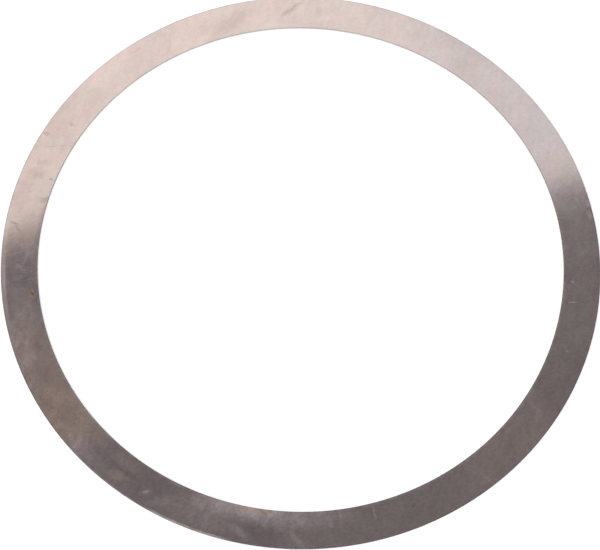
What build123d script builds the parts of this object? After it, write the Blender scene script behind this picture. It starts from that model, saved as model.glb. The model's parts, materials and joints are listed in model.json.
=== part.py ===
"""Shim ring: a flat washer-like ring blanked from thin cold-rolled steel strip.

The ring is one piece. It fills an axial gap, for example between the outer ring of
a bearing and the shoulder of its housing, so it is guided by its rim or by its bore
and is clamped between its two faces.

A compound die cuts the bore and the rim in one stroke, from the same side, so both
edges have the same section. From the top down each cut edge has

    a roll-over, where the sheet is drawn down before it shears: a narrow, shallow arc
    that leaves the upper face as a tangent,
    a burnished land, the only part of the edge at the full size,
    a fracture zone, which leans back from the land,
    and a small break where the burr was taken off.

Frame: Z is the axis of the ring, the origin is the centre of the bore in the plane of
the underside, and the upper face looks along +Z. All sizes are in millimetres.
"""

import os

from build123d import *

# Ring
outer_diameter = 159.5  # slips into a 160 housing
band_width = 9.75       # from the bore to the rim, which leaves a bore of 140
thickness = 0.5         # gauge of the strip

# Cut edges, the same at the rim and at the bore
roll_width = 0.2        # from the land, across the upper face
roll_depth = 0.02       # below the upper face, at the land
fracture_height = 0.15  # from the underside up to the foot of the land
fracture_lean = 0.02    # how far the fracture zone falls back from the land
burr_break = 0.02       # chamfer along the lower edges

rim_radius = outer_diameter / 2
bore_radius = rim_radius - band_width
land_top = thickness - roll_depth
rim_foot = rim_radius - fracture_lean
bore_foot = bore_radius + fracture_lean

with BuildPart() as shim_ring:
    # Section through the ring, to the right of the axis, drawn once round
    with BuildSketch(Plane.XZ):
        with BuildLine():
            underside = Line((bore_foot + burr_break, 0), (rim_foot - burr_break, 0))
            rim_break = Line(underside @ 1, (rim_foot, burr_break))
            rim_fracture = Line(rim_break @ 1, (rim_radius, fracture_height))
            rim_land = Line(rim_fracture @ 1, (rim_radius, land_top))
            upper_face = Line((rim_radius - roll_width, thickness), (bore_radius + roll_width, thickness))
            TangentArc(upper_face @ 0, rim_land @ 1, tangent=(1, 0))
            bore_roll = TangentArc(upper_face @ 1, (bore_radius, land_top), tangent=(-1, 0))
            bore_land = Line(bore_roll @ 1, (bore_radius, fracture_height))
            bore_fracture = Line(bore_land @ 1, (bore_foot, burr_break))
            Line(bore_fracture @ 1, underside @ 0)
        make_face()
    revolve(axis=Axis.Z)

shim_ring.part.label = "shim_ring"

os.makedirs("parts", exist_ok=True)
export_step(shim_ring.part, "parts/shim_ring.step")

land_height = land_top - fracture_height
print(f"ring {outer_diameter:g} x {2 * bore_radius:g} x {thickness:g}, land {land_height:.3f} high")
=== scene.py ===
"""Dresses the shim ring: bright cold-rolled steel with its scuffs, stains and cut edges, on a white floor.

The ring is one blanked piece, so one mesh stands for its solid. The mesh is turned from the same section,
and three finishes cover it: the upper face, the underside and the two cut edges. Lengths are in metres
unless a name says otherwise.
"""

from __future__ import annotations

import json
import logging
import math
from dataclasses import dataclass
from enum import Enum
from functools import cached_property
from typing import Optional, Sequence, Union

import bmesh
import bpy
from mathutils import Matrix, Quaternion, Vector


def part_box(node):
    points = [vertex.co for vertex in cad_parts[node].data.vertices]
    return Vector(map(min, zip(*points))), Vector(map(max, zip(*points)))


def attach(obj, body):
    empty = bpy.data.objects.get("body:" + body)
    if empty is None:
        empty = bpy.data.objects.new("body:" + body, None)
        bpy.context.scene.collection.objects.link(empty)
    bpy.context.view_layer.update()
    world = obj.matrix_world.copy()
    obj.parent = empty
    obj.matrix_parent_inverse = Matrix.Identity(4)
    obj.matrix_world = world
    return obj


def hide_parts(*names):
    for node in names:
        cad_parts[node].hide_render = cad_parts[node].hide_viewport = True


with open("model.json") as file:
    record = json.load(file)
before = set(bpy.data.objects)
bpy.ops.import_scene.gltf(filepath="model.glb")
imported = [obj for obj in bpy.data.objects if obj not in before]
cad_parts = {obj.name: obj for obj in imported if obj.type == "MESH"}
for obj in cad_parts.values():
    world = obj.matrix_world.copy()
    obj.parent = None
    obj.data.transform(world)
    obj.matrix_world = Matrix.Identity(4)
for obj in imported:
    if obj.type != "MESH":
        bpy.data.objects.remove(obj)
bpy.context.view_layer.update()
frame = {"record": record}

LOG = logging.getLogger("shim_ring")
NODE = "shim_ring"
BODY = "root"
MM = 0.001

# Nearly all values of a noise lie between these
NOISE_LOW = 0.3
NOISE_HIGH = 0.7

Colour = tuple[float, float, float]
Signal = Union[float, Sequence[float], bpy.types.NodeSocket]
Sockets = dict[str, bpy.types.NodeSocket]


class Wiring:
    """Adds nodes to one tree and links them, so that a formula takes a line.

    Args:
        tree: the node tree of a material, a world or a group.
    """

    def __init__(self, tree: bpy.types.NodeTree) -> None:
        """Takes the tree to add to."""
        self.tree = tree

    def node(self, kind: str, **settings: object) -> bpy.types.Node:
        """Adds one node.

        Args:
            kind: the node's type without its ShaderNode prefix.
            settings: attributes of the node, such as operation.

        Returns:
            The new node.
        """
        made = self.tree.nodes.new("ShaderNode" + kind)
        for name, value in settings.items():
            setattr(made, name, value)
        return made

    def feed(self, socket: bpy.types.NodeSocket, value: Signal) -> None:
        """Links a socket to another one, or sets it to a constant.

        Args:
            socket: the input to feed.
            value: the socket or the constant.
        """
        if isinstance(value, bpy.types.NodeSocket):
            self.tree.links.new(value, socket)
        elif socket.type == "RGBA" and len(value) == 3:
            socket.default_value = (*value, 1.0)
        else:
            socket.default_value = value

    def math(self, operation: str, *values: Signal, clamp: bool = False) -> bpy.types.NodeSocket:
        """One Math node.

        Args:
            operation: the node's operation, such as ADD.
            values: its inputs in order.
            clamp: whether the result is kept from 0 to 1.

        Returns:
            The result's socket.
        """
        made = self.node("Math", operation=operation, use_clamp=clamp)
        for socket, value in zip(made.inputs, values):
            self.feed(socket, value)
        return made.outputs["Value"]

    def vector(self, operation: str, *values: Signal) -> bpy.types.NodeSocket:
        """One Vector Math node.

        Args:
            operation: the node's operation, such as ADD.
            values: its inputs in order.

        Returns:
            The result's socket, which is a number for a length or a dot product.
        """
        made = self.node("VectorMath", operation=operation)
        for socket, value in zip(made.inputs, values):
            self.feed(socket, value)
        return made.outputs["Value" if operation in ("LENGTH", "DOT_PRODUCT") else "Vector"]

    def scaled(self, value: Signal, factor: Signal) -> bpy.types.NodeSocket:
        """A vector times a number.

        Args:
            value: the vector.
            factor: the number.

        Returns:
            The scaled vector's socket.
        """
        made = self.node("VectorMath", operation="SCALE")
        self.feed(made.inputs["Vector"], value)
        self.feed(made.inputs["Scale"], factor)
        return made.outputs["Vector"]

    def split(self, value: Signal) -> tuple[bpy.types.NodeSocket, ...]:
        """Takes a vector apart.

        Args:
            value: the vector.

        Returns:
            The sockets of its X, Y and Z.
        """
        made = self.node("SeparateXYZ")
        self.feed(made.inputs["Vector"], value)
        return tuple(made.outputs)

    def join(self, x: Signal, y: Signal, z: Signal = 0.0) -> bpy.types.NodeSocket:
        """Puts a vector together.

        Args:
            x: its X.
            y: its Y.
            z: its Z.

        Returns:
            The vector's socket.
        """
        made = self.node("CombineXYZ")
        for socket, value in zip(made.inputs, (x, y, z)):
            self.feed(socket, value)
        return made.outputs["Vector"]

    def radius(self, place: Signal) -> bpy.types.NodeSocket:
        """How far a place lies from the Z axis."""
        return self.vector("LENGTH", self.vector("MULTIPLY", place, (1.0, 1.0, 0.0)))

    def along(self, heading: Signal, place: Signal) -> tuple[bpy.types.NodeSocket, ...]:
        """Measures a place in the frame of a heading on the floor.

        Args:
            heading: the angle from +X, in radians.
            place: the place.

        Returns:
            How far the place lies along the heading, to the left of it and up.
        """
        made = self.node("VectorRotate", rotation_type="Z_AXIS")
        self.feed(made.inputs["Vector"], place)
        self.feed(made.inputs["Angle"], self.math("MULTIPLY", heading, -1.0))
        return self.split(made.outputs["Vector"])

    def weighted(self, start: Signal, *parts: tuple[Signal, Signal], clamp: bool = False) -> Signal:
        """A number with several others added to it, each times its weight.

        Args:
            start: the number.
            parts: pairs of what is added and its weight.
            clamp: whether the result is kept from 0 to 1.

        Returns:
            The result.
        """
        total = start
        for k, (value, weight) in enumerate(parts, 1):
            total = self.math("MULTIPLY_ADD", value, weight, total, clamp=clamp and k == len(parts))
        return total

    def strongest(self, first: Signal, *others: Signal) -> Signal:
        """Compares several numbers.

        Args:
            first: one of them.
            others: the rest.

        Returns:
            The largest.
        """
        for other in others:
            first = self.math("MAXIMUM", first, other)
        return first

    def step(self, value: Signal, low: Signal, high: Signal, start: float = 0.0,
             end: float = 1.0) -> bpy.types.NodeSocket:
        """A smooth step.

        Args:
            value: what is compared with low and high.
            low: where the step starts.
            high: where it ends.
            start: the result up to low.
            end: the result from high on.

        Returns:
            The result's socket.
        """
        # A smooth step keeps between its ends by itself, so the node needn't clamp too
        made = self.node("MapRange", interpolation_type="SMOOTHSTEP", clamp=False)
        for name, given in (("Value", value), ("From Min", low), ("From Max", high),
                            ("To Min", start), ("To Max", end)):
            self.feed(made.inputs[name], given)
        return made.outputs["Result"]

    def peaks(self, value: Signal, share: Signal, rarest: float, fade: float) -> bpy.types.NodeSocket:
        """The highest places of a noise, as a mask.

        Args:
            value: the noise.
            share: how much of the surface is wanted, from 0 to 1.
            rarest: the height that the mask starts at for a share of 0.
            fade: how far above its start the mask is full.

        Returns:
            The mask's socket.
        """
        # A whole share takes the start a fifth of the noise's range down
        level = self.math("MULTIPLY_ADD", share, -0.2, rarest)
        return self.step(value, level, self.math("ADD", level, fade))

    def blend(self, share: Signal, first: Signal, second: Signal, how: str = "MIX") -> bpy.types.NodeSocket:
        """Two colours mixed.

        Args:
            share: how much of the second is used, from 0 to 1.
            first: the colour underneath.
            second: the colour on top.
            how: the Mix node's blend type.

        Returns:
            The mixed colour's socket.
        """
        made = self.node("Mix", data_type="RGBA", blend_type=how)
        self.feed(made.inputs["Factor"], share)
        self.feed(made.inputs["A"], first)
        self.feed(made.inputs["B"], second)
        return made.outputs["Result"]

    def noise(self, place: Signal, scale: Signal, detail: float = 2.0,
              roughness: float = 0.5) -> bpy.types.Node:
        """A Noise Texture node, whose values lie round a half.

        Args:
            place: the coordinates.
            scale: cells in a unit of the coordinates.
            detail: octaves above the first.
            roughness: how strong each octave is beside the last.

        Returns:
            The node, for its Fac or Color output.
        """
        made = self.node("TexNoise", noise_dimensions="3D")
        for name, value in (("Vector", place), ("Scale", scale), ("Detail", detail),
                            ("Roughness", roughness)):
            self.feed(made.inputs[name], value)
        return made

    def bump(self, height: Signal, normal: Optional[Signal] = None) -> bpy.types.NodeSocket:
        """One Bump node.

        Args:
            height: how far the surface stands up, in millimetres.
            normal: the normal that it changes, where that isn't the surface's own.

        Returns:
            The new normal's socket.
        """
        made = self.node("Bump")
        made.inputs["Distance"].default_value = MM
        self.feed(made.inputs["Height"], height)
        if normal is not None:
            self.feed(made.inputs["Normal"], normal)
        return made.outputs["Normal"]

    def group(self, tree: bpy.types.NodeTree, **values: Signal) -> bpy.types.Node:
        """Places a node group.

        Args:
            tree: the group.
            values: its inputs, by their names with underscores for spaces.

        Returns:
            The group's node.
        """
        made = self.node("Group", node_tree=tree)
        for name, value in values.items():
            self.feed(made.inputs[name.replace("_", " ")], value)
        return made


class Effects:
    """The node groups that the finishes and the studio use. Each is built when it is first asked for."""

    @staticmethod
    def begin(name: str, gives: str, vectors: Sequence[str], numbers: Sequence[str],
              kind: str = "Float") -> tuple[Wiring, Sockets, bpy.types.NodeSocket]:
        """Starts a group.

        Args:
            name: the group's name.
            gives: the name of its one output.
            vectors: the names of its inputs that take a vector.
            numbers: the names of its inputs that take a number.
            kind: whether its output is a Float or a Vector.

        Returns:
            The wiring inside it, its inputs' sockets by name and its output's socket.
        """
        tree = bpy.data.node_groups.new(name, "ShaderNodeTree")
        for socket in vectors:
            tree.interface.new_socket(socket, in_out="INPUT", socket_type="NodeSocketVector")
        for socket in numbers:
            tree.interface.new_socket(socket, in_out="INPUT", socket_type="NodeSocketFloat")
        tree.interface.new_socket(gives, in_out="OUTPUT", socket_type="NodeSocket" + kind)
        start = tree.nodes.new("NodeGroupInput")
        end = tree.nodes.new("NodeGroupOutput")
        return Wiring(tree), {k: start.outputs[k] for k in (*vectors, *numbers)}, end.inputs[gives]

    @cached_property
    def edge_wear(self) -> bpy.types.NodeTree:
        """A ragged mask that is 1 at the bore and the rim and falls to 0 a width away.

        Returns:
            The group.
        """
        w, given, mask = self.begin("edge_wear", "Mask", ["Position"],
                                    ["Bore radius", "Rim radius", "Width", "Raggedness"])
        radius = w.radius(given["Position"])
        from_rim = w.math("SUBTRACT", given["Rim radius"], radius)
        from_bore = w.math("SUBTRACT", radius, given["Bore radius"])
        inset = w.math("MINIMUM", from_rim, from_bore)
        ragged = w.math("SUBTRACT", w.noise(given["Position"], scale=260.0, detail=3.0).outputs["Fac"], 0.5)
        ragged = w.math("MULTIPLY", w.math("MULTIPLY", ragged, given["Raggedness"]), given["Width"])
        share = w.math("DIVIDE", w.math("ADD", inset, ragged), given["Width"])
        w.feed(mask, w.step(share, 0.0, 1.0, 1.0, 0.0))
        return w.tree

    @cached_property
    def soft_roll(self) -> bpy.types.NodeTree:
        """The surface's normal, turned back towards the face's own where an edge's gloss is rubbed away.

        Returns:
            The group.
        """
        w, given, normal = self.begin("soft_roll", "Normal", [], ["Amount"], "Vector")
        x, y, z = w.split(w.node("NewGeometry").outputs["Normal"])
        keep = w.math("SUBTRACT", 1.0, given["Amount"])
        turned = w.join(w.math("MULTIPLY", x, keep), w.math("MULTIPLY", y, keep), z)
        w.feed(normal, w.vector("NORMALIZE", turned))
        return w.tree

    @cached_property
    def rolling_lines(self) -> bpy.types.NodeTree:
        """Fine lines along X, the way the strip was rolled, from 0 to 1 round a half.

        Returns:
            The group.
        """
        w, given, value = self.begin("rolling_lines", "Value", ["Position"], ["Pitch", "Stretch"])
        x, y, z = w.split(given["Position"])
        along = w.math("DIVIDE", x, w.math("MULTIPLY", given["Pitch"], given["Stretch"]))
        across = w.math("DIVIDE", y, given["Pitch"])
        place = w.join(along, across, w.math("DIVIDE", z, given["Pitch"]))
        w.feed(value, w.noise(place, scale=1.0, detail=3.0, roughness=0.6).outputs["Fac"])
        return w.tree

    @cached_property
    def wiped_film(self) -> bpy.types.NodeTree:
        """Soft patches drawn out one way, as a wiping cloth leaves them, from 0 to 1.

        Returns:
            The group.
        """
        w, given, value = self.begin("wiped_film", "Value", ["Position"],
                                     ["Heading", "Size", "Stretch", "Seed"])
        x, y, _ = w.along(given["Heading"], given["Position"])
        along = w.math("DIVIDE", x, w.math("MULTIPLY", given["Size"], given["Stretch"]))
        place = w.join(along, w.math("DIVIDE", y, given["Size"]), given["Seed"])
        patches = w.noise(place, scale=1.0, detail=3.0, roughness=0.55).outputs["Fac"]
        w.feed(value, w.step(patches, NOISE_LOW, NOISE_HIGH))
        return w.tree

    @cached_property
    def specks(self) -> bpy.types.NodeTree:
        """Small sparse specks, as a mask.

        Returns:
            The group.
        """
        w, given, mask = self.begin("specks", "Mask", ["Position"], ["Size", "Share", "Seed"])
        place = w.vector("ADD", w.vector("DIVIDE", given["Position"], w.join(*[given["Size"]] * 3)),
                         w.join(given["Seed"], 0.0, 0.0))
        value = w.noise(place, scale=1.0, detail=2.0, roughness=0.6).outputs["Fac"]
        w.feed(mask, w.peaks(value, given["Share"], rarest=0.78, fade=0.07))
        return w.tree

    @cached_property
    def hairlines(self) -> bpy.types.NodeTree:
        """Short straight hairlines in one direction, as a mask.

        Returns:
            The group.
        """
        w, given, mask = self.begin("hairlines", "Mask", ["Position"],
                                    ["Heading", "Length", "Width", "Share"])
        x, y, _ = w.along(given["Heading"], given["Position"])
        place = w.join(w.math("DIVIDE", x, given["Length"]), w.math("DIVIDE", y, given["Width"]),
                       given["Heading"])
        value = w.noise(place, scale=1.0, detail=0.0).outputs["Fac"]
        w.feed(mask, w.peaks(value, given["Share"], rarest=0.82, fade=0.06))
        return w.tree

    @cached_property
    def rim_rub(self) -> bpy.types.NodeTree:
        """A narrow strip along the rim with a crisp inner line, as a mask.

        Returns:
            The group.
        """
        w, given, mask = self.begin("rim_rub", "Mask", ["Position", "Middle"],
                                    ["Spread", "Rim radius", "Width", "Softness"])
        radius = w.radius(given["Position"])
        facing = w.vector("DOT_PRODUCT", given["Position"], given["Middle"])
        away = w.math("ARCCOSINE", w.math("DIVIDE", facing, radius))
        whole_share = 0.55
        ends = w.step(away, w.math("MULTIPLY", given["Spread"], whole_share), given["Spread"], 1.0, 0.0)
        inset = w.math("SUBTRACT", given["Rim radius"], radius)
        soft = w.math("MULTIPLY", given["Width"], given["Softness"])
        inner = w.step(inset, w.math("SUBTRACT", given["Width"], soft), given["Width"], 1.0, 0.0)
        w.feed(mask, w.math("MULTIPLY", ends, inner))
        return w.tree

    @cached_property
    def mark(self) -> bpy.types.NodeTree:
        """One long or round mark at a place, with a ragged outline, as a mask.

        Returns:
            The group.
        """
        w, given, mask = self.begin("mark", "Mask", ["Position", "Waver", "Centre"],
                                    ["Heading", "Length", "Width", "Softness", "Wander"])
        moved = w.vector("ADD", given["Position"], w.scaled(given["Waver"], given["Wander"]))
        x, y, _ = w.along(given["Heading"], w.vector("SUBTRACT", moved, given["Centre"]))
        along = w.math("DIVIDE", w.math("MULTIPLY", x, 2.0), given["Length"])
        across = w.math("DIVIDE", w.math("MULTIPLY", y, 2.0), given["Width"])
        reach = w.math("SQRT", w.math("ADD", w.math("MULTIPLY", along, along),
                                      w.math("MULTIPLY", across, across)))
        inner = w.math("SUBTRACT", 1.0, given["Softness"])
        outer = w.math("ADD", 1.0, given["Softness"])
        w.feed(mask, w.step(reach, inner, outer, 1.0, 0.0))
        return w.tree

    @cached_property
    def flag(self) -> bpy.types.NodeTree:
        """A soft grey board in the studio, as a mask over directions. Its lower edge is the crisp one.

        Returns:
            The group.
        """
        w, given, mask = self.begin("flag", "Mask", ["Direction", "Turn"],
                                    ["Half width", "Height", "Softness", "Lift", "Lean", "Wave", "Wave rate"])
        turned = w.node("VectorRotate", rotation_type="EULER_XYZ", invert=True)
        w.feed(turned.inputs["Vector"], given["Direction"])
        w.feed(turned.inputs["Rotation"], given["Turn"])
        right, up, back = w.split(turned.outputs["Vector"])
        ahead = w.math("MULTIPLY", back, -1.0)
        least_depth = 0.01
        depth = w.math("MAXIMUM", ahead, least_depth)
        x = w.math("DIVIDE", right, depth)
        y = w.math("DIVIDE", up, depth)
        wave = w.math("SINE", w.math("MULTIPLY", x, given["Wave rate"]))
        edge = w.weighted(given["Lift"], (x, given["Lean"]), (wave, given["Wave"]))
        above = w.math("SUBTRACT", y, edge)

        # A crisp step at the lower edge does nearly all of the shading, and a wider one the rest
        crisp_share = 0.96
        wide = 4.0
        soft = given["Softness"]
        crisp = w.step(above, w.math("MULTIPLY", soft, -1.0), soft)
        shaded = w.step(above, 0.0, w.math("MULTIPLY", soft, wide))
        low = w.weighted(0.0, (crisp, crisp_share), (shaded, 1.0 - crisp_share))

        # Each other side is gone this many times as far out as it starts to fade
        fade = 1.6
        high = w.step(above, given["Height"], w.math("MULTIPLY", given["Height"], fade), 1.0, 0.0)
        side = w.step(w.math("ABSOLUTE", x), given["Half width"],
                      w.math("MULTIPLY", given["Half width"], fade), 1.0, 0.0)

        # Directions that run beside the board's plane or away from it never meet it
        front = w.step(ahead, 0.05, 0.15)
        w.feed(mask, w.math("MULTIPLY", w.math("MULTIPLY", low, high), w.math("MULTIPLY", side, front)))
        return w.tree


class MarkKind(Enum):
    """What a mark does to the steel."""

    SCUFF = "rubbed dull, with no colour of its own"
    STAIN = "a thin brown-grey stain"
    FILM = "a thin film that hazes the shine"
    OIL = "a dried, faintly brown film of oil"
    SMEAR = "greasy smears and fine scratches from handling"
    TARNISH = "a faint violet-grey tarnish"
    RUST = "orange-brown oxide with a dark core"


@dataclass(frozen=True)
class Mark:
    """One mark on a face of the ring.

    Args:
        kind: what it is.
        angle: where it is round the ring, in degrees from +X, seen from above.
        inset: how far it lies inside the rim, in millimetres.
        length: its length in millimetres.
        width: its width in millimetres.
        heading: the way it runs, in degrees from +X.
        strength: how plain it is. Above 1 its soft outline spreads too.
        softness: how soft its outline is, from 0 to 1.
    """

    kind: MarkKind
    angle: float
    inset: float
    length: float
    width: float
    heading: float = 0.0
    strength: float = 1.0
    softness: float = 0.5

    @property
    def wander(self) -> float:
        """How far its outline strays, which grows with a narrow mark's width only."""
        return 1.5 * MM * min(1.5, self.width)

    def centre(self, rim_radius: float) -> Vector:
        """Finds the mark's middle.

        Args:
            rim_radius: the ring's outer radius.

        Returns:
            The middle, in the ring's own coordinates.
        """
        reach = rim_radius - self.inset * MM
        turn = math.radians(self.angle)
        return Vector((reach * math.cos(turn), reach * math.sin(turn), 0.0))


@dataclass(frozen=True)
class RimRub:
    """A strip along the rim where the ring was rubbed in handling.

    Args:
        angle: its middle, in degrees from +X.
        spread: half its length, in degrees.
        width: its width in millimetres.
        strength: how plain it is, as for a mark.
        softness: how much of its width the inner line takes to fade.
    """

    angle: float
    spread: float
    width: float
    strength: float
    softness: float = 0.2


# Each mark's kind, angle, inset, length, width, heading, strength and softness
UPPER_MARKS = (
    # The bright far side, from the right round to the left
    Mark(MarkKind.SCUFF, 81.0, 5.1, 4.0, 0.3, 0.0, 0.25, 0.6),
    Mark(MarkKind.STAIN, 88.0, 4.5, 2.8, 2.0, 90.0, 0.14, 0.9),
    Mark(MarkKind.STAIN, 94.0, 3.9, 6.2, 1.2, 42.0, 0.42, 0.7),
    Mark(MarkKind.STAIN, 106.5, 5.0, 14.0, 4.4, 42.0, 0.2, 0.7),
    Mark(MarkKind.STAIN, 113.5, 4.8, 6.5, 5.0, 23.0, 0.12, 0.9),
    Mark(MarkKind.STAIN, 121.2, 5.5, 7.5, 0.8, 90.0, 0.12, 1.0),
    Mark(MarkKind.STAIN, 127.7, 2.1, 3.4, 0.9, 46.0, 0.18, 0.9),
    Mark(MarkKind.STAIN, 142.0, 6.5, 13.0, 5.5, 52.0, 0.08, 0.9),
    Mark(MarkKind.STAIN, 145.5, 1.3, 10.0, 1.3, 55.5, 0.14, 0.9),
    Mark(MarkKind.STAIN, 149.5, 5.7, 1.8, 1.0, -34.0, 0.42, 0.8),
    Mark(MarkKind.STAIN, 152.6, 5.8, 1.6, 0.9, -30.0, 0.2, 0.9),
    Mark(MarkKind.STAIN, 151.0, 4.6, 13.0, 8.0, 62.0, 0.07, 0.9),
    Mark(MarkKind.STAIN, 154.0, 1.3, 1.4, 1.0, -27.0, 0.4, 0.8),
    Mark(MarkKind.SCUFF, 155.5, 5.5, 8.5, 0.25, 5.0, 0.25, 0.6),
    Mark(MarkKind.STAIN, 160.0, 4.5, 3.0, 1.2, 2.0, 0.16, 0.8),
    Mark(MarkKind.STAIN, 163.0, 4.7, 3.4, 1.8, -31.0, 0.18, 0.9),
    Mark(MarkKind.STAIN, 163.0, 8.4, 0.9, 0.6, -45.0, 0.4, 0.7),
    Mark(MarkKind.STAIN, 168.0, 9.0, 2.4, 1.4, 2.0, 0.2, 0.8),
    Mark(MarkKind.STAIN, 174.4, 2.3, 2.4, 0.5, -25.0, 0.3, 0.8),
    Mark(MarkKind.STAIN, 175.6, 3.6, 2.4, 0.6, -58.0, 0.32, 0.8),
    # The dark near side
    Mark(MarkKind.TARNISH, 184.5, 4.5, 12.0, 6.4, -85.0, 0.50, 0.35),
    Mark(MarkKind.FILM, 184.0, 5.0, 4.2, 1.2, -30.0, 0.55, 0.9),
    Mark(MarkKind.FILM, 186.4, 4.6, 3.6, 1.1, 25.0, 0.5, 0.9),
    Mark(MarkKind.FILM, 182.6, 6.2, 4.0, 1.2, 75.0, 0.6, 0.9),
    Mark(MarkKind.SCUFF, 188.8, 5.4, 2.0, 0.6, 20.0, 0.08, 0.9),
    Mark(MarkKind.RUST, 190.2, 8.1, 1.4, 1.15, -44.0, 0.8, 1.0),
    Mark(MarkKind.STAIN, 190.8, 7.2, 3.2, 1.8, -44.0, 0.2, 1.0),
    Mark(MarkKind.STAIN, 193.6, 5.4, 3.4, 1.6, -60.0, 0.28, 0.9),
    Mark(MarkKind.FILM, 196.5, 5.5, 14.0, 8.0, -72.0, 0.9, 0.9),
    Mark(MarkKind.OIL, 207.0, 4.8, 32.0, 12.0, -63.0, 0.65, 0.5),
    Mark(MarkKind.FILM, 203.0, 3.0, 21.0, 7.5, -67.0, 1.4, 0.9),
    Mark(MarkKind.FILM, 220.0, 2.4, 20.0, 5.5, -50.0, 1.35, 0.9),
    Mark(MarkKind.STAIN, 202.0, 6.4, 2.8, 1.5, -68.0, 0.3, 0.9),
    Mark(MarkKind.STAIN, 207.8, 5.3, 5.0, 2.6, -62.0, 0.26, 0.9),
    Mark(MarkKind.STAIN, 213.8, 2.2, 4.2, 2.4, -56.0, 0.34, 0.9),
    Mark(MarkKind.OIL, 217.5, 4.2, 18.0, 15.0, -53.0, 0.95, 0.45),
    Mark(MarkKind.OIL, 225.6, 8.0, 7.0, 4.5, -44.0, 0.5, 0.8),
    Mark(MarkKind.SCUFF, 220.5, 7.4, 3.0, 0.8, -54.0, 0.10, 0.9),
    Mark(MarkKind.TARNISH, 229.0, 3.6, 6.0, 9.0, -40.0, 0.15, 0.9),
    Mark(MarkKind.OIL, 234.0, 3.1, 6.5, 2.4, -16.0, 0.45, 0.4),
    Mark(MarkKind.STAIN, 234.4, 5.1, 6.5, 1.3, -34.0, 0.45, 0.8),
    Mark(MarkKind.OIL, 233.5, 7.2, 7.0, 2.6, -34.0, 0.28, 0.9),
    Mark(MarkKind.TARNISH, 240.5, 5.4, 8.0, 10.0, -30.0, 0.25, 0.8),
    Mark(MarkKind.SCUFF, 240.4, 3.7, 2.9, 1.3, 18.0, 0.4, 0.9),
    Mark(MarkKind.FILM, 245.0, 5.0, 13.0, 2.2, 14.0, 0.5, 0.8),
    Mark(MarkKind.SMEAR, 247.2, 6.0, 5.5, 1.8, 20.0, 1.0, 0.9),
    Mark(MarkKind.SCUFF, 246.2, 4.2, 1.8, 0.3, -5.0, 0.2, 0.8),
    Mark(MarkKind.SCUFF, 247.3, 5.4, 2.6, 0.3, 10.0, 0.24, 0.8),
    Mark(MarkKind.SCUFF, 248.0, 7.6, 3.0, 0.4, 18.0, 0.2, 0.9),
    Mark(MarkKind.SMEAR, 254.0, 5.0, 10.0, 8.0, -18.0, 0.15, 0.8),
    Mark(MarkKind.FILM, 251.8, 4.8, 12.0, 9.5, -19.0, 0.55, 0.8),
    Mark(MarkKind.SCUFF, 250.6, 4.5, 1.2, 0.8, 20.0, 0.15, 0.9),
    Mark(MarkKind.FILM, 259.5, 3.2, 4.8, 1.6, -34.0, 1.1, 0.9),
    Mark(MarkKind.TARNISH, 264.0, 3.2, 10.0, 5.0, -8.0, 0.38, 0.7),
    Mark(MarkKind.FILM, 261.5, 9.0, 24.0, 5.0, -8.5, 2.2, 0.9),
    Mark(MarkKind.OIL, 262.3, 9.3, 9.5, 2.0, -8.0, 0.9, 0.9),
    Mark(MarkKind.STAIN, 269.0, 7.2, 2.8, 1.6, 0.0, 0.25, 0.9),
    Mark(MarkKind.FILM, 270.8, 2.4, 5.0, 1.3, 128.0, 0.9, 0.9),
    Mark(MarkKind.SMEAR, 268.0, 6.5, 12.0, 5.0, -5.0, 0.3, 0.9),
    Mark(MarkKind.FILM, 277.0, 8.4, 12.0, 4.6, 7.0, 0.9, 0.9),
    Mark(MarkKind.SCUFF, 277.5, 5.8, 1.2, 0.7, -44.0, 0.22, 0.9),
    Mark(MarkKind.SCUFF, 279.5, 8.5, 2.4, 0.6, -69.0, 0.25, 0.8),
    Mark(MarkKind.SCUFF, 286.5, 7.4, 4.6, 0.5, -75.0, 0.32, 0.9),
    Mark(MarkKind.STAIN, 294.5, 5.8, 0.8, 0.7, 0.0, 0.9, 0.6),
    Mark(MarkKind.SCUFF, 309.6, 2.3, 4.4, 0.9, -40.0, 0.2, 0.9),
    Mark(MarkKind.FILM, 318.5, 5.0, 25.0, 15.0, 48.0, 0.3, 0.45),
    Mark(MarkKind.OIL, 318.5, 5.0, 26.0, 15.0, 48.0, 0.34, 0.45),
    Mark(MarkKind.FILM, 319.6, 7.8, 2.6, 1.6, 18.0, 1.0, 0.9),
    Mark(MarkKind.FILM, 326.8, 5.4, 11.0, 2.6, -68.0, 0.6, 0.9),
    Mark(MarkKind.SCUFF, 341.0, 5.2, 1.5, 0.8, -70.0, 0.22, 0.9),
    Mark(MarkKind.FILM, 350.0, 5.0, 22.0, 14.0, 80.0, 0.2, 0.8),
    Mark(MarkKind.FILM, 6.0, 5.0, 16.0, 14.0, 96.0, 0.3, 0.8),
    Mark(MarkKind.FILM, 11.0, 1.0, 2.4, 1.0, 101.0, 1.2, 0.9),
    Mark(MarkKind.FILM, 13.6, 0.7, 1.6, 0.8, 104.0, 1.0, 0.9),
    Mark(MarkKind.OIL, 22.5, 4.5, 7.0, 9.0, 112.0, 0.35, 0.9),
    Mark(MarkKind.SCUFF, 352.0, 6.7, 2.4, 0.35, 5.0, 0.3, 0.7),
    Mark(MarkKind.SCUFF, 356.5, 7.3, 1.0, 0.7, 2.0, 0.25, 0.9),
)
UPPER_RUBS = (
    RimRub(199.0, 21.0, 1.4, 1.0, 0.25),
    RimRub(231.0, 11.0, 0.5, 1.3, 0.8),
    RimRub(250.0, 9.5, 0.8, 2.6, 0.7),
)

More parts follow.
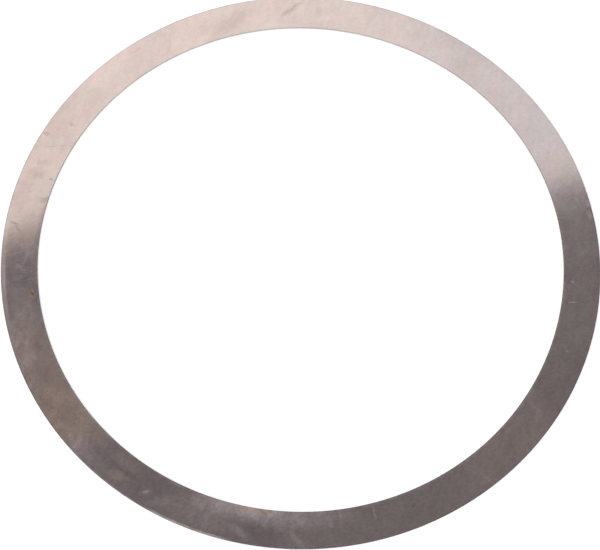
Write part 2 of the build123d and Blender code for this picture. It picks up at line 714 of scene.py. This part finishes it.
LOWER_MARKS = (
    Mark(MarkKind.FILM, 24.0, 5.0, 18.0, 7.0, 110.0, 0.6, 0.9),
    Mark(MarkKind.STAIN, 133.0, 6.0, 2.4, 1.2, 10.0, 0.3, 0.8),
    Mark(MarkKind.SCUFF, 201.0, 4.0, 7.0, 0.4, 20.0, 0.2, 0.7),
    Mark(MarkKind.FILM, 240.0, 5.0, 22.0, 8.0, -30.0, 0.5, 0.9),
    Mark(MarkKind.RUST, 287.0, 2.5, 1.6, 1.2, 0.0, 0.9, 0.5),
    Mark(MarkKind.SCUFF, 322.0, 6.5, 5.0, 0.4, -8.0, 0.2, 0.7),
)
LOWER_RUBS = (RimRub(70.0, 12.0, 1.2, 0.6, 0.4),)


@dataclass(frozen=True)
class Patch:
    """Soft patches that rolling and wiping left in the strip's skin, and how far they change it.

    Args:
        heading: the way they are drawn out, in degrees from +X.
        size: their width in millimetres.
        stretch: how many times as long as wide they are.
        seed: their place in the noise.
        tone: how much lighter they are.
        grey: how much greyer they are.
        green: how much greener they are.
        rough: how much rougher they are.
        haze: how much hazier they are.
        height: how far they stand up, in millimetres.
    """

    heading: float
    size: float
    stretch: float
    seed: float
    tone: float = 0.0
    grey: float = 0.0
    green: float = 0.0
    rough: float = 0.0
    haze: float = 0.0
    height: float = 0.0


class Skin(Enum):
    """The layers of patches in a mill face, which differ in size and in what they change."""

    SHADE = Patch(40.0, 11.0, 1.6, 2.0, tone=0.10)
    HAZE = Patch(-40.0, 6.0, 1.7, 3.0, rough=0.015, haze=0.018)
    TINT = Patch(52.0, 4.5, 2.2, 1.0, grey=0.8)
    CLOUD = Patch(65.0, 2.6, 1.7, 6.0, green=0.03)
    FINE = Patch(75.0, 1.6, 2.0, 4.0, tone=0.06, haze=0.012, height=0.0004)
    BLOT = Patch(-32.0, 1.1, 2.2, 7.0)
    GRAIN = Patch(20.0, 0.6, 1.8, 5.0, tone=0.055, grey=0.5, haze=0.025)


@dataclass
class FaceLayers:
    """What lies on a mill face, for its colour, gloss and relief to share: noises and masks.

    Args:
        place: the surface's coordinates.
        skin: the layers of patches.
        marks: a mask for each kind of mark, above 1 where it lies thick.
        lines: the rolling lines, round a half.
        dirt: dark specks.
        nicks: bright specks.
        hair: hairline scratches.
        edge: the stretch beside each edge, worn rougher and darkened by painted shade.
        rolled: the rolled edges themselves.
        handled: the stretch beside the bore that fingers touch.
    """

    place: Signal
    skin: dict[Skin, Signal]
    marks: dict[MarkKind, Signal]
    lines: Signal
    dirt: Signal
    nicks: Signal
    hair: Signal
    edge: Signal
    rolled: Signal
    handled: Signal

    def patches(self, change: str) -> list[tuple[Signal, float]]:
        """The layers of patches that make one change, such as tone, each with its weight."""
        weights = {layer: getattr(layer.value, change) for layer in Skin}
        return [(self.skin[layer], weight) for layer, weight in weights.items() if weight]


@dataclass(frozen=True)
class RolledFace:
    """The finish of a face that is still as it left the mill, with its own marks.

    Args:
        name: the material's name.
        marks: the marks on this face.
        rubs: the rubbed strips along its rim.
        seed: where in the noise this face lies, so that the two faces differ.
    """

    name: str
    marks: tuple[Mark, ...]
    rubs: tuple[RimRub, ...]
    seed: float

    # Colours of the clean steel, of what lies on it and of the painted shade along its edges
    rosy_steel: Colour = (0.732, 0.618, 0.574)
    grey_steel: Colour = (0.702, 0.642, 0.588)
    oiled: Colour = (0.77, 0.605, 0.49)
    filmed: Colour = (0.70, 0.616, 0.622)
    tarnish: Colour = (0.50, 0.42, 0.465)
    edge_shade_colour: Colour = (0.62, 0.60, 0.60)
    stain: Colour = (0.36, 0.255, 0.205)
    rust: Colour = (0.22, 0.135, 0.075)
    rust_core: Colour = (0.055, 0.033, 0.018)

    # How grey and how green the clean steel is, and how much films and the painted edge shade hide its colour
    greyness: float = -0.15
    greenness: float = 0.985
    film_cover: float = 0.6
    edge_shade_cover: float = 0.7

    # Between how thin and how thick a layer the rust's colour and its core's set in, and it dulls and covers
    rust_tints: tuple[float, float] = (0.0, 0.3)
    core_tints: tuple[float, float] = (0.4, 0.75)
    rust_dulls: tuple[float, float] = (0.0, 0.6)
    rust_covers: tuple[float, float] = (0.05, 0.6)

    # The tone of the steel, and how far its lines, the painted shade along its edges, smears and dirt change
    # it
    tone: float = 0.888
    line_tone: float = 0.06
    edge_shade_tone: float = -0.42
    smear_tone: float = -0.10
    dirt_tone: float = -0.22

    # The roughness of the clean steel and of worn steel, and how worn each kind of mark leaves it
    gloss: float = 0.055
    line_rough: float = 0.01
    dull: float = 0.45
    hair_wear: float = 0.08
    film_wear: float = 0.08
    edge_wear: float = 0.15
    stain_wear: float = 0.4
    rust_rough: float = 0.7

    # How much of a film and of dried oil lies even, and how much more in patches
    film_even: float = 0.50
    film_patchy: float = 0.55
    oil_even: float = 0.85
    oil_patchy: float = 0.3

    # How much of the metal's shine each film, smear, nick and touch takes
    film_haze: float = 0.14
    grease_haze: float = 0.17
    nick_haze: float = 0.1
    smeared_nick_haze: float = 0.2
    finger_haze: float = 0.12
    finger_nick_haze: float = 0.6

    # How much of the rolled edges' own gloss is rubbed away
    roll_rubbed: float = 0.85

    # Heights in millimetres: the strip's slow waves, its rolling lines and its scratches
    wave_height: float = 0.012
    line_height: float = 0.0001
    hair_height: float = -0.00015
    scuff_height: float = -0.002

    # Widths beside the edges, the rolled edges' own in widths of their roll
    edge_width: float = 0.24 * MM
    rolled_widths: float = 2.5
    handled_width: float = 0.9 * MM

    # The hairlines' headings in degrees, and their lengths in millimetres
    hair_runs: tuple[tuple[float, float], ...] = ((12.0, 5.0), (-58.0, 3.5))

    def masks(self, w: Wiring, effects: Effects, place: Signal, rim_radius: float) -> dict[MarkKind, Signal]:
        """The marks of each kind together, as one mask a kind.

        Args:
            w: the material's wiring.
            effects: the shared node groups.
            place: the surface's coordinates.
            rim_radius: the ring's outer radius.

        Returns:
            A mask for each kind of mark.
        """
        # One noise makes the outlines stray, and a finer one breaks the marks up
        waver = w.noise(place, scale=700.0, detail=2.0).outputs["Color"]
        waver = w.vector("SUBTRACT", waver, (0.5, 0.5, 0.5))
        broken = w.step(w.noise(place, scale=1300.0, detail=2.0).outputs["Fac"], 0.3, 0.6, 0.7, 1.0)
        found: dict[MarkKind, Signal] = {kind: 0.0 for kind in MarkKind}
        for mark in self.marks:
            one = w.group(effects.mark, Position=place, Waver=waver, Centre=mark.centre(rim_radius),
                          Heading=math.radians(mark.heading), Length=mark.length * MM,
                          Width=mark.width * MM, Softness=mark.softness,
                          Wander=mark.wander).outputs["Mask"]
            one = w.math("MULTIPLY", w.math("MULTIPLY", one, broken), mark.strength)
            found[mark.kind] = w.math("MAXIMUM", found[mark.kind], one)
        for rub in self.rubs:
            turn = math.radians(rub.angle)
            one = w.group(effects.rim_rub, Position=place, Middle=(math.cos(turn), math.sin(turn), 0.0),
                          Spread=math.radians(rub.spread), Rim_radius=rim_radius, Width=rub.width * MM,
                          Softness=rub.softness).outputs["Mask"]
            one = w.math("MULTIPLY", one, rub.strength)
            found[MarkKind.FILM] = w.math("MAXIMUM", found[MarkKind.FILM], one)
        return found

    def layers(self, w: Wiring, effects: Effects, form: "RingForm") -> FaceLayers:
        """Everything that lies on the face.

        Args:
            w: the material's wiring.
            effects: the shared node groups.
            form: the ring's sizes.

        Returns:
            The layers.
        """
        place = w.node("TexCoord").outputs["Object"]
        skin = {}
        for layer in Skin:
            patch = layer.value
            skin[layer] = w.group(effects.wiped_film, Position=place, Heading=math.radians(patch.heading),
                                  Size=patch.size * MM, Stretch=patch.stretch,
                                  Seed=self.seed + patch.seed).outputs["Value"]
        marks = self.masks(w, effects, place, form.rim_radius)
        lines = w.group(effects.rolling_lines, Position=place, Pitch=0.35 * MM,
                        Stretch=60.0).outputs["Value"]
        dirt = w.group(effects.specks, Position=place, Size=0.55 * MM, Share=0.35,
                       Seed=self.seed).outputs["Mask"]
        nicks = w.group(effects.specks, Position=place, Size=0.45 * MM, Share=0.3,
                        Seed=self.seed + 40.0).outputs["Mask"]
        hair = w.strongest(*(
            w.group(effects.hairlines, Position=place, Heading=math.radians(heading), Length=length * MM,
                    Width=0.12 * MM, Share=0.5).outputs["Mask"]
            for heading, length in self.hair_runs))
        edge = w.group(effects.edge_wear, Position=place, Bore_radius=form.bore_radius,
                       Rim_radius=form.rim_radius, Width=self.edge_width, Raggedness=0.6).outputs["Mask"]
        rolled = w.group(effects.edge_wear, Position=place, Bore_radius=form.bore_radius,
                         Rim_radius=form.rim_radius, Width=form.roll_width * self.rolled_widths,
                         Raggedness=0.2).outputs["Mask"]
        # Twice the rim's radius keeps this stretch to the bore alone
        handled = w.group(effects.edge_wear, Position=place, Bore_radius=form.bore_radius,
                          Rim_radius=form.rim_radius * 2.0, Width=self.handled_width,
                          Raggedness=1.5).outputs["Mask"]
        return FaceLayers(place, skin, marks, lines, dirt, nicks, hair, edge, rolled, handled)

    def colour(self, w: Wiring, on: FaceLayers) -> Signal:
        """The face's colour.

        Args:
            w: the material's wiring.
            on: what lies on the face.

        Returns:
            The colour's socket.
        """
        smeared = w.math("MULTIPLY", on.marks[MarkKind.SMEAR], on.skin[Skin.BLOT])
        # The stretch beside the bore and the rim is made darker here: painted shade for a dark outline
        tone = w.weighted(self.tone, *on.patches("tone"), (w.math("SUBTRACT", on.lines, 0.5), self.line_tone),
                          (on.edge, self.edge_shade_tone), (smeared, self.smear_tone), (on.dirt, self.dirt_tone))
        greyer = w.weighted(self.greyness, *on.patches("grey"), clamp=True)
        filmed = w.math("MULTIPLY", on.marks[MarkKind.FILM], self.film_cover, clamp=True)
        colour = w.blend(greyer, self.rosy_steel, self.grey_steel)
        colour = w.blend(filmed, colour, self.filmed)
        colour = w.blend(on.marks[MarkKind.TARNISH], colour, self.tarnish)
        colour = w.blend(w.math("MINIMUM", on.marks[MarkKind.OIL], 1.0), colour, self.oiled)
        # Painted shade: the stretch beside each edge turns greyer and darker
        colour = w.blend(w.math("MULTIPLY", on.edge, self.edge_shade_cover), colour, self.edge_shade_colour)
        greener = w.weighted(self.greenness, *on.patches("green"))
        colour = w.blend(1.0, colour, w.join(tone, w.math("MULTIPLY", tone, greener), tone), "MULTIPLY")
        colour = w.blend(on.marks[MarkKind.STAIN], colour, self.stain)
        rust = on.marks[MarkKind.RUST]
        colour = w.blend(w.step(rust, *self.rust_tints), colour, self.rust)
        return w.blend(w.step(rust, *self.core_tints), colour, self.rust_core)

    def roughness(self, w: Wiring, on: FaceLayers) -> Signal:
        """The face's roughness.

        Args:
            w: the material's wiring.
            on: what lies on the face.

        Returns:
            The roughness's socket.
        """
        worn = w.strongest(on.marks[MarkKind.SCUFF], w.math("MULTIPLY", on.hair, self.hair_wear),
                           w.math("MULTIPLY", on.marks[MarkKind.FILM], self.film_wear),
                           w.math("MULTIPLY", on.edge, self.edge_wear),
                           w.math("MULTIPLY", on.marks[MarkKind.STAIN], self.stain_wear))
        rusted = w.step(on.marks[MarkKind.RUST], *self.rust_dulls)
        return w.weighted(self.gloss, *on.patches("rough"),
                          (w.math("SUBTRACT", on.lines, 0.5), self.line_rough),
                          (worn, self.dull), (rusted, self.rust_rough), clamp=True)

    def metallic(self, w: Wiring, on: FaceLayers) -> Signal:
        """How much of the face shows bare metal. Films, grease, nicks and rust dim it.

        Args:
            w: the material's wiring.
            on: what lies on the face.

        Returns:
            The metal's socket.
        """
        smear, cloud, blot = on.marks[MarkKind.SMEAR], on.skin[Skin.CLOUD], on.skin[Skin.BLOT]
        film_depth = w.weighted(self.film_even, (cloud, self.film_patchy))
        film = w.math("MULTIPLY", on.marks[MarkKind.FILM], film_depth)
        oil_depth = w.weighted(self.oil_even, (on.skin[Skin.HAZE], self.oil_patchy))
        oil = w.math("MULTIPLY", on.marks[MarkKind.OIL], oil_depth)
        grease = w.math("MULTIPLY", w.math("ADD", blot, cloud), 0.5)
        grease = w.math("MULTIPLY", w.step(grease, NOISE_LOW, NOISE_HIGH), smear)
        nick_share = w.weighted(self.nick_haze, (smear, self.smeared_nick_haze))
        dim = w.weighted(0.0, (w.strongest(film, oil), self.film_haze), *on.patches("haze"),
                         (grease, self.grease_haze), (on.nicks, nick_share),
                         (w.math("MULTIPLY", on.handled, blot), self.finger_haze),
                         (w.math("MULTIPLY", on.handled, on.nicks), self.finger_nick_haze), clamp=True)
        bare = w.step(on.marks[MarkKind.RUST], *self.rust_covers, 1.0, 0.0)
        return w.math("MULTIPLY", w.math("SUBTRACT", 1.0, dim), bare)

    def relief(self, w: Wiring, effects: Effects, on: FaceLayers) -> Signal:
        """The face's normal, with its waves, lines and scratches.

        Args:
            w: the material's wiring.
            effects: the shared node groups.
            on: what lies on the face.

        Returns:
            The normal's socket.
        """
        waves = w.noise(on.place, scale=40.0, detail=1.0).outputs["Fac"]
        height = w.weighted(0.0, (waves, self.wave_height), *on.patches("height"),
                            (on.lines, self.line_height), (on.hair, self.hair_height),
                            (on.marks[MarkKind.SCUFF], self.scuff_height))
        rubbed = w.math("MULTIPLY", on.rolled, self.roll_rubbed)
        return w.bump(height, w.group(effects.soft_roll, Amount=rubbed).outputs["Normal"])

    def material(self, effects: Effects, form: "RingForm") -> bpy.types.Material:
        """Builds the material.

        Args:
            effects: the shared node groups.
            form: the ring's sizes.

        Returns:
            The material.
        """
        made, w, shader = new_material(self.name)
        on = self.layers(w, effects, form)
        w.feed(shader.inputs["Base Color"], self.colour(w, on))
        w.feed(shader.inputs["Roughness"], self.roughness(w, on))
        w.feed(shader.inputs["Metallic"], self.metallic(w, on))
        w.feed(shader.inputs["Normal"], self.relief(w, effects, on))
        return made


@dataclass(frozen=True)
class CutEdge:
    """The finish of the sheared edges: a bright land with fine upright drag lines above a torn grey zone."""

    name: str = "cut_edge"

    # The colours of the land and of the torn zone, and the heights between which one gives way to the
    # other, in heights of the fracture
    land: Colour = (0.60, 0.57, 0.555)
    torn: Colour = (0.42, 0.41, 0.40)
    tear_ends: tuple[float, float] = (0.8, 1.2)

    # How light and how rough the land is, and what the grain, the tearing and the drag lines add
    tone: float = 0.8
    grain_tone: float = 0.4
    gloss: float = 0.2
    torn_rough: float = 0.3
    drag_rough: float = 0.1

    # Heights in millimetres, how much the drag lines are drawn out, and how far the tear's end strays
    drag_height: float = 0.004
    torn_height: float = 0.01
    drag_squeeze: float = 0.06
    stray: float = 0.1 * MM

    def material(self, effects: Effects, form: "RingForm") -> bpy.types.Material:
        """Builds the material.

        Args:
            effects: the shared node groups, which this finish can do without.
            form: the ring's sizes.

        Returns:
            The material.
        """
        made, w, shader = new_material(self.name)
        place = w.node("TexCoord").outputs["Object"]
        x, y, z = w.split(place)
        grain = w.noise(place, scale=4200.0, detail=3.0, roughness=0.6).outputs["Fac"]
        drawn_out = w.join(x, y, w.math("MULTIPLY", z, self.drag_squeeze))
        drag = w.noise(drawn_out, scale=5200.0, detail=2.0).outputs["Fac"]
        foot = w.weighted(z, (w.math("SUBTRACT", grain, 0.5), self.stray))
        low, high = (share * form.fracture_height for share in self.tear_ends)
        torn = w.step(foot, low, high, 1.0, 0.0)
        shade = w.weighted(self.tone, (grain, self.grain_tone))
        colour = w.blend(torn, self.land, self.torn)
        w.feed(shader.inputs["Base Color"], w.blend(1.0, colour, w.join(shade, shade, shade), "MULTIPLY"))
        shader.inputs["Metallic"].default_value = 1.0
        w.feed(shader.inputs["Roughness"], w.weighted(self.gloss, (torn, self.torn_rough),
                                                      (drag, self.drag_rough)))
        ridges = w.math("MULTIPLY", grain, torn)
        height = w.weighted(0.0, (drag, self.drag_height), (ridges, self.torn_height))
        w.feed(shader.inputs["Normal"], w.bump(height))
        return made


def new_material(name: str) -> tuple[bpy.types.Material, Wiring, bpy.types.Node]:
    """Starts a material.

    Args:
        name: its name.

    Returns:
        The material, the wiring of its nodes and its shader.
    """
    made = bpy.data.materials.new(name)
    made.use_nodes = True
    made.node_tree.nodes.clear()
    w = Wiring(made.node_tree)
    shader = w.node("BsdfPrincipled")
    out = w.node("OutputMaterial")
    w.feed(out.inputs["Surface"], shader.outputs["BSDF"])
    return made, w, shader


class Zone(Enum):
    """Stretches of the ring's section, each with its own finish, in the order of the mesh's materials."""

    UPPER = 0
    LOWER = 1
    CUT = 2


@dataclass(frozen=True)
class Station:
    """A point of the section.

    Args:
        radius: its distance from the axis.
        height: its height above the floor.
        zone: the stretch that starts here, going round from the underside to the rim.
        crisp: whether the section has a corner here.
    """

    radius: float
    height: float
    zone: Zone
    crisp: bool = False


@dataclass
class RingForm:
    """The ring's sizes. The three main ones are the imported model's own.

    Args:
        rim_radius: the outer radius, at the land.
        bore_radius: the inner radius, at the land.
        thickness: the strip's thickness.
        roll_width: how far each rolled upper edge reaches into the face.
        roll_depth: how far it drops.
        fracture_height: the height of the torn zone's upper end.
        fracture_lean: how far the torn zone leans away from the land.
        burr_break: how wide and how high the broken burr at the underside is.
        arc_steps: faces across each rolled edge.
        face_rows: rows of faces across each flat.
        segments: faces round the ring.
    """

    rim_radius: float
    bore_radius: float
    thickness: float
    roll_width: float = 0.2 * MM
    roll_depth: float = 0.02 * MM
    fracture_height: float = 0.15 * MM
    fracture_lean: float = 0.02 * MM
    burr_break: float = 0.02 * MM
    arc_steps: int = 8
    face_rows: int = 8
    segments: int = 960

    @classmethod
    def from_frame(cls) -> "RingForm":
        """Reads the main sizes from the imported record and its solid.

        Returns:
            The form.
        """
        radii = {m["name"]: m["dims"].get("r_mm", 0.0) * MM for m in frame["record"]["mounts"]}
        low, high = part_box(NODE)
        return cls(radii["rim"], radii["bore"], high[2] - low[2])

    def roll(self, share: float) -> tuple[float, float]:
        """A point of the rolled edge.

        Args:
            share: 0 where the edge leaves the flat, 1 at the land.

        Returns:
            How far it lies from the flat's end, and how far below the face.
        """
        arc = (self.roll_width**2 + self.roll_depth**2) / (2 * self.roll_depth)
        out = share * self.roll_width
        return out, arc - math.sqrt(arc**2 - out**2)

    def section(self) -> list[Station]:
        """Draws the section, once round: underside, rim, upper face and bore.

        Returns:
            Its points in order.
        """
        rim, bore, top = self.rim_radius, self.bore_radius, self.thickness
        rim_foot, bore_foot = rim - self.fracture_lean, bore + self.fracture_lean
        shares = [k / self.arc_steps for k in range(self.arc_steps + 1)]
        stations = []
        start, end = bore_foot + self.burr_break, rim_foot - self.burr_break
        for k in range(self.face_rows):
            stations.append(Station(start + (end - start) * k / self.face_rows, 0.0, Zone.LOWER, k == 0))
        stations.append(Station(end, 0.0, Zone.CUT, True))
        stations.append(Station(rim_foot, self.burr_break, Zone.CUT, True))
        stations.append(Station(rim, self.fracture_height, Zone.CUT, True))
        for share in reversed(shares):
            out, down = self.roll(share)
            stations.append(Station(rim - self.roll_width + out, top - down, Zone.UPPER, share == 1.0))
        start, end = rim - self.roll_width, bore + self.roll_width
        for k in range(1, self.face_rows):
            stations.append(Station(start + (end - start) * k / self.face_rows, top, Zone.UPPER))
        for share in shares:
            out, down = self.roll(share)
            zone = Zone.CUT if share == 1.0 else Zone.UPPER
            stations.append(Station(bore + self.roll_width - out, top - down, zone, share == 1.0))
        stations.append(Station(bore, self.fracture_height, Zone.CUT, True))
        stations.append(Station(bore_foot, self.burr_break, Zone.CUT, True))
        return stations


@dataclass
class ShimRing:
    """The ring itself: one mesh, turned from its section, in three finishes.

    Args:
        form: the ring's sizes.
        map_rows: how many rows the unrolled map has.
        map_gap: the room between them, and at each end, as a share of the map.
    """

    form: RingForm
    map_rows: int = 5
    map_gap: float = 0.012

    def build(self) -> bpy.types.Object:
        """Builds the mesh.

        Returns:
            The ring's object.
        """
        stations = self.form.section()
        shape = bmesh.new()
        rings = []
        for k in range(self.form.segments):
            turn = math.tau * k / self.form.segments
            rings.append([shape.verts.new((s.radius * math.cos(turn), s.radius * math.sin(turn), s.height))
                          for s in stations])
        self.fill(shape, rings, stations)
        mesh = bpy.data.meshes.new("ring_strip")
        shape.to_mesh(mesh)
        shape.free()
        ring = bpy.data.objects.new("ring_strip", mesh)
        bpy.context.scene.collection.objects.link(ring)
        return ring

    def fill(self, shape: bmesh.types.BMesh, rings: list[list[bmesh.types.BMVert]],
             stations: list[Station]) -> None:
        """Adds the faces between neighbouring sections, their corners' creases and their map.

        Args:
            shape: the mesh under construction.
            rings: the vertices of each section round the ring.
            stations: the points of the section.
        """
        unrolled = shape.loops.layers.uv.new("OFBake")
        count = len(stations)

        # The path along the section up to each of its points, and once round
        paths = [0.0]
        for here, there in zip(stations, stations[1:] + stations[:1]):
            paths.append(paths[-1] + math.hypot(there.radius - here.radius, there.height - here.height))
        for k, near in enumerate(rings):
            far = rings[(k + 1) % len(rings)]
            for j, station in enumerate(stations):
                after = (j + 1) % count
                face = shape.faces.new((near[j], far[j], far[after], near[after]))
                face.material_index = station.zone.value
                face.smooth = True
                corners = ((k, j), (k + 1, j), (k + 1, j + 1), (k, j + 1))
                for loop, (across, up) in zip(face.loops, corners):
                    loop[unrolled].uv = self.on_map(k, across, paths[up] / paths[-1])
        shape.edges.ensure_lookup_table()
        for k, near in enumerate(rings):
            far = rings[(k + 1) % len(rings)]
            for j, station in enumerate(stations):
                if station.crisp:
                    shape.edges.get((near[j], far[j])).smooth = False

    def on_map(self, segment: int, across: int, up: float) -> tuple[float, float]:
        """Where a corner lies on the unrolled map, which has the ring cut in a few rows.

        Args:
            segment: the face's place round the ring.
            across: the corner's place round the ring.
            up: the corner's place along the section, from 0 to 1.

        Returns:
            The corner's place, from 0 to 1 each way.
        """
        per_row = self.form.segments // self.map_rows
        row = segment // per_row
        along = self.map_gap + (1 - 2 * self.map_gap) * (across - row * per_row) / per_row
        height = 1 / self.map_rows - self.map_gap
        return along, row / self.map_rows + self.map_gap / 2 + height * up

    def dress(self, ring: bpy.types.Object, effects: Effects) -> None:
        """Gives the ring its finishes and its place in the frame.

        Args:
            ring: the ring's object.
            effects: the shared node groups.
        """
        finishes = {
            Zone.UPPER: RolledFace("rolled_upper_face", UPPER_MARKS, UPPER_RUBS, 0.0),
            Zone.LOWER: RolledFace("rolled_underside", LOWER_MARKS, LOWER_RUBS, 7.3),
            Zone.CUT: CutEdge(),
        }
        for zone in Zone:
            ring.data.materials.append(finishes[zone].material(effects, self.form))
        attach(ring, BODY)
        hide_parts(NODE)
        LOG.info("%s: %d faces, rim %.4f m, bore %.4f m", ring.name, len(ring.data.polygons),
                 2 * self.form.rim_radius, 2 * self.form.bore_radius)


@dataclass(frozen=True)
class Board:
    """A grey board of the studio, which bright metal needs to show its shape.

    Args:
        heading: the way to its lower edge, in degrees from +X.
        elevation: the height of that edge above the horizon, in degrees.
        half_width: half its width, as a share of its distance.
        height: its height, as a share of its distance.
        softness: how soft its lower edge is, as a share of its distance.
        colour: what it sends back, where the bare wall sends 1.
        lift: how far its edge is moved up, as a share of its distance.
        lean: how much its edge rises for each step to the right.
        wave: how far the edge swings up and down, as a share of its distance.
        wave_rate: the swings' rate, in radians for a step of its distance.
    """

    heading: float
    elevation: float
    half_width: float
    height: float
    softness: float
    colour: Colour
    lift: float = 0.0
    lean: float = 0.0
    wave: float = 0.0
    wave_rate: float = 0.0

    def turn(self) -> tuple[float, float, float]:
        """The turn of an eye that looks at the middle of the lower edge."""
        return math.radians(90 + self.elevation), 0.0, math.radians(self.heading - 90)


@dataclass
class Studio:
    """A plain pale floor, white walls with a few grey boards, one soft lamp and the camera.

    Args:
        form: the ring's sizes.
        boards: the grey boards.
    """

    form: RingForm

    # The floor: its size, how far it lies under the ring, its white, and the glow that fades with distance
    floor_size: float = 12.0
    floor_drop: float = 0.02 * MM
    floor_white: float = 0.82
    floor_glow: float = 0.34
    glow_fades: tuple[float, float] = (0.4, 3.5)
    glow_left: float = 0.25

    # The walls' level, low down and from high up on, and the heights between which it rises
    wall_low: float = 0.70
    wall_high: float = 1.0
    wall_rises: tuple[float, float] = (0.10, 0.62)

    # The colours of the walls and of the ceiling's three parts, and where each gives way to the next
    wall: Colour = (0.985, 0.97, 0.965)
    ceiling_left: Colour = (0.93, 0.86, 0.84)
    ceiling: Colour = (1.045, 0.98, 0.985)
    ceiling_right: Colour = (0.805, 0.805, 0.865)
    ceiling_starts: tuple[float, float] = (0.45, 0.8)
    left_ends: tuple[float, float] = (-0.15, -0.09)
    right_starts: tuple[float, float] = (-0.02, 0.12)

    lamp_power: float = 5.0
    lamp_size: float = 0.7
    lamp_place: tuple[float, float, float] = (-0.55, -0.65, 0.95)

    # The camera: its height in degrees, its distance and its aim in radii of the rim, its roll and its lens
    elevation: float = 67.2
    distance: float = 6.985
    aim: tuple[float, float] = (-0.0017, -0.0615)
    roll: float = 1.84
    lens: float = 125.9

    boards: tuple[Board, ...] = (
        Board(heading=90.0, elevation=65.0, half_width=0.34, height=0.21, softness=0.0090,
              colour=(0.182, 0.168, 0.184), lift=0.0054, lean=-0.118, wave=0.0100, wave_rate=24.2),
        Board(heading=135.0, elevation=25.2, half_width=0.5, height=0.30, softness=0.02,
              colour=(0.3, 0.29, 0.3)),
        Board(heading=-45.0, elevation=15.2, half_width=0.5, height=0.26, softness=0.015,
              colour=(0.3, 0.29, 0.3)),
    )

    def floor(self) -> None:
        """The floor, just under the ring."""
        half = self.floor_size / 2
        square = ((-half, -half), (half, -half), (half, half), (-half, half))
        corners = [(x, y, -self.floor_drop) for x, y in square]
        mesh = bpy.data.meshes.new("floor")
        mesh.from_pydata(corners, [], [(0, 1, 2, 3)])
        floor = bpy.data.objects.new("floor", mesh)
        bpy.context.scene.collection.objects.link(floor)
        made, w, shader = new_material("white_floor")
        shader.inputs["Base Color"].default_value = (self.floor_white,) * 3 + (1.0,)
        shader.inputs["Roughness"].default_value = 1.0
        shader.inputs["Specular IOR Level"].default_value = 0.0
        shader.inputs["Emission Color"].default_value = (1.0, 1.0, 1.0, 1.0)
        path = w.node("LightPath")
        seen = w.math("MAXIMUM", path.outputs["Is Camera Ray"], path.outputs["Is Glossy Ray"])
        seen = w.math("MAXIMUM", seen, path.outputs["Is Transmission Ray"])
        away = w.radius(w.node("TexCoord").outputs["Object"])
        glow = w.step(away, *self.glow_fades, self.floor_glow, self.floor_glow * self.glow_left)
        w.feed(shader.inputs["Emission Strength"], w.math("MULTIPLY", seen, glow))
        floor.data.materials.append(made)

    def walls(self, effects: Effects) -> None:
        """The white walls and ceiling, as the world, with the boards in front of them.

        Args:
            effects: the shared node groups.
        """
        world = bpy.data.worlds.new("studio_walls")
        world.use_nodes = True
        world.node_tree.nodes.clear()
        bpy.context.scene.world = world
        w = Wiring(world.node_tree)
        direction = w.node("TexCoord").outputs["Generated"]
        x, _, z = w.split(direction)
        level = w.step(z, *self.wall_rises, self.wall_low, self.wall_high)
        overhead = w.blend(w.step(x, *self.left_ends), self.ceiling_left, self.ceiling)
        overhead = w.blend(w.step(x, *self.right_starts), overhead, self.ceiling_right)
        tint = w.blend(w.step(z, *self.ceiling_starts), self.wall, overhead)
        shown = w.blend(1.0, tint, w.join(level, level, level), "MULTIPLY")
        for board in self.boards:
            mask = w.group(effects.flag, Direction=direction, Turn=board.turn(), Half_width=board.half_width,
                           Height=board.height, Softness=board.softness, Lift=board.lift, Lean=board.lean,
                           Wave=board.wave, Wave_rate=board.wave_rate).outputs["Mask"]
            shown = w.blend(mask, shown, board.colour)
        light = w.node("Background")
        w.feed(light.inputs["Color"], shown)
        out = w.node("OutputWorld")
        w.feed(out.inputs["Surface"], light.outputs["Background"])

    def lamp(self) -> None:
        """One large soft lamp in front of the ring, to its left."""
        data = bpy.data.lights.new("soft_lamp", "AREA")
        data.shape = "DISK"
        data.size = self.lamp_size
        data.energy = self.lamp_power
        lamp = bpy.data.objects.new("soft_lamp", data)
        lamp.location = self.lamp_place
        lamp.rotation_euler = (-lamp.location).to_track_quat("-Z", "Y").to_euler()
        bpy.context.scene.collection.objects.link(lamp)

    def camera(self) -> None:
        """The camera, high in front of the ring, a little turned about its own axis."""
        rim = self.form.rim_radius
        data = bpy.data.cameras.new("camera")
        data.lens = self.lens
        data.sensor_width = 36.0
        data.clip_start = 0.01
        data.clip_end = 50.0
        camera = bpy.data.objects.new("camera", data)
        tilt = math.radians(self.elevation)
        back = Vector((0.0, -math.cos(tilt), math.sin(tilt)))
        target = Vector((self.aim[0] * rim, self.aim[1] * rim, self.form.thickness))
        camera.location = target + back * (self.distance * rim)
        camera.rotation_mode = "QUATERNION"
        about_axis = Quaternion((0.0, 0.0, 1.0), math.radians(self.roll))
        camera.rotation_quaternion = (-back).to_track_quat("-Z", "Y") @ about_axis
        bpy.context.scene.collection.objects.link(camera)
        bpy.context.scene.camera = camera

    def build(self, effects: Effects) -> None:
        """Builds the whole studio.

        Args:
            effects: the shared node groups.
        """
        self.floor()
        self.walls(effects)
        self.lamp()
        self.camera()
        bpy.context.scene.view_settings.view_transform = "Standard"
        LOG.info("studio: %d boards, lens %.1f mm", len(self.boards), self.lens)


def main() -> None:
    """Builds the ring and its studio."""
    logging.basicConfig(level=logging.INFO, format="%(name)s: %(message)s")
    form = RingForm.from_frame()
    effects = Effects()
    ring = ShimRing(form)
    ring.dress(ring.build(), effects)
    Studio(form).build(effects)


if __name__ == "__main__":
    main()
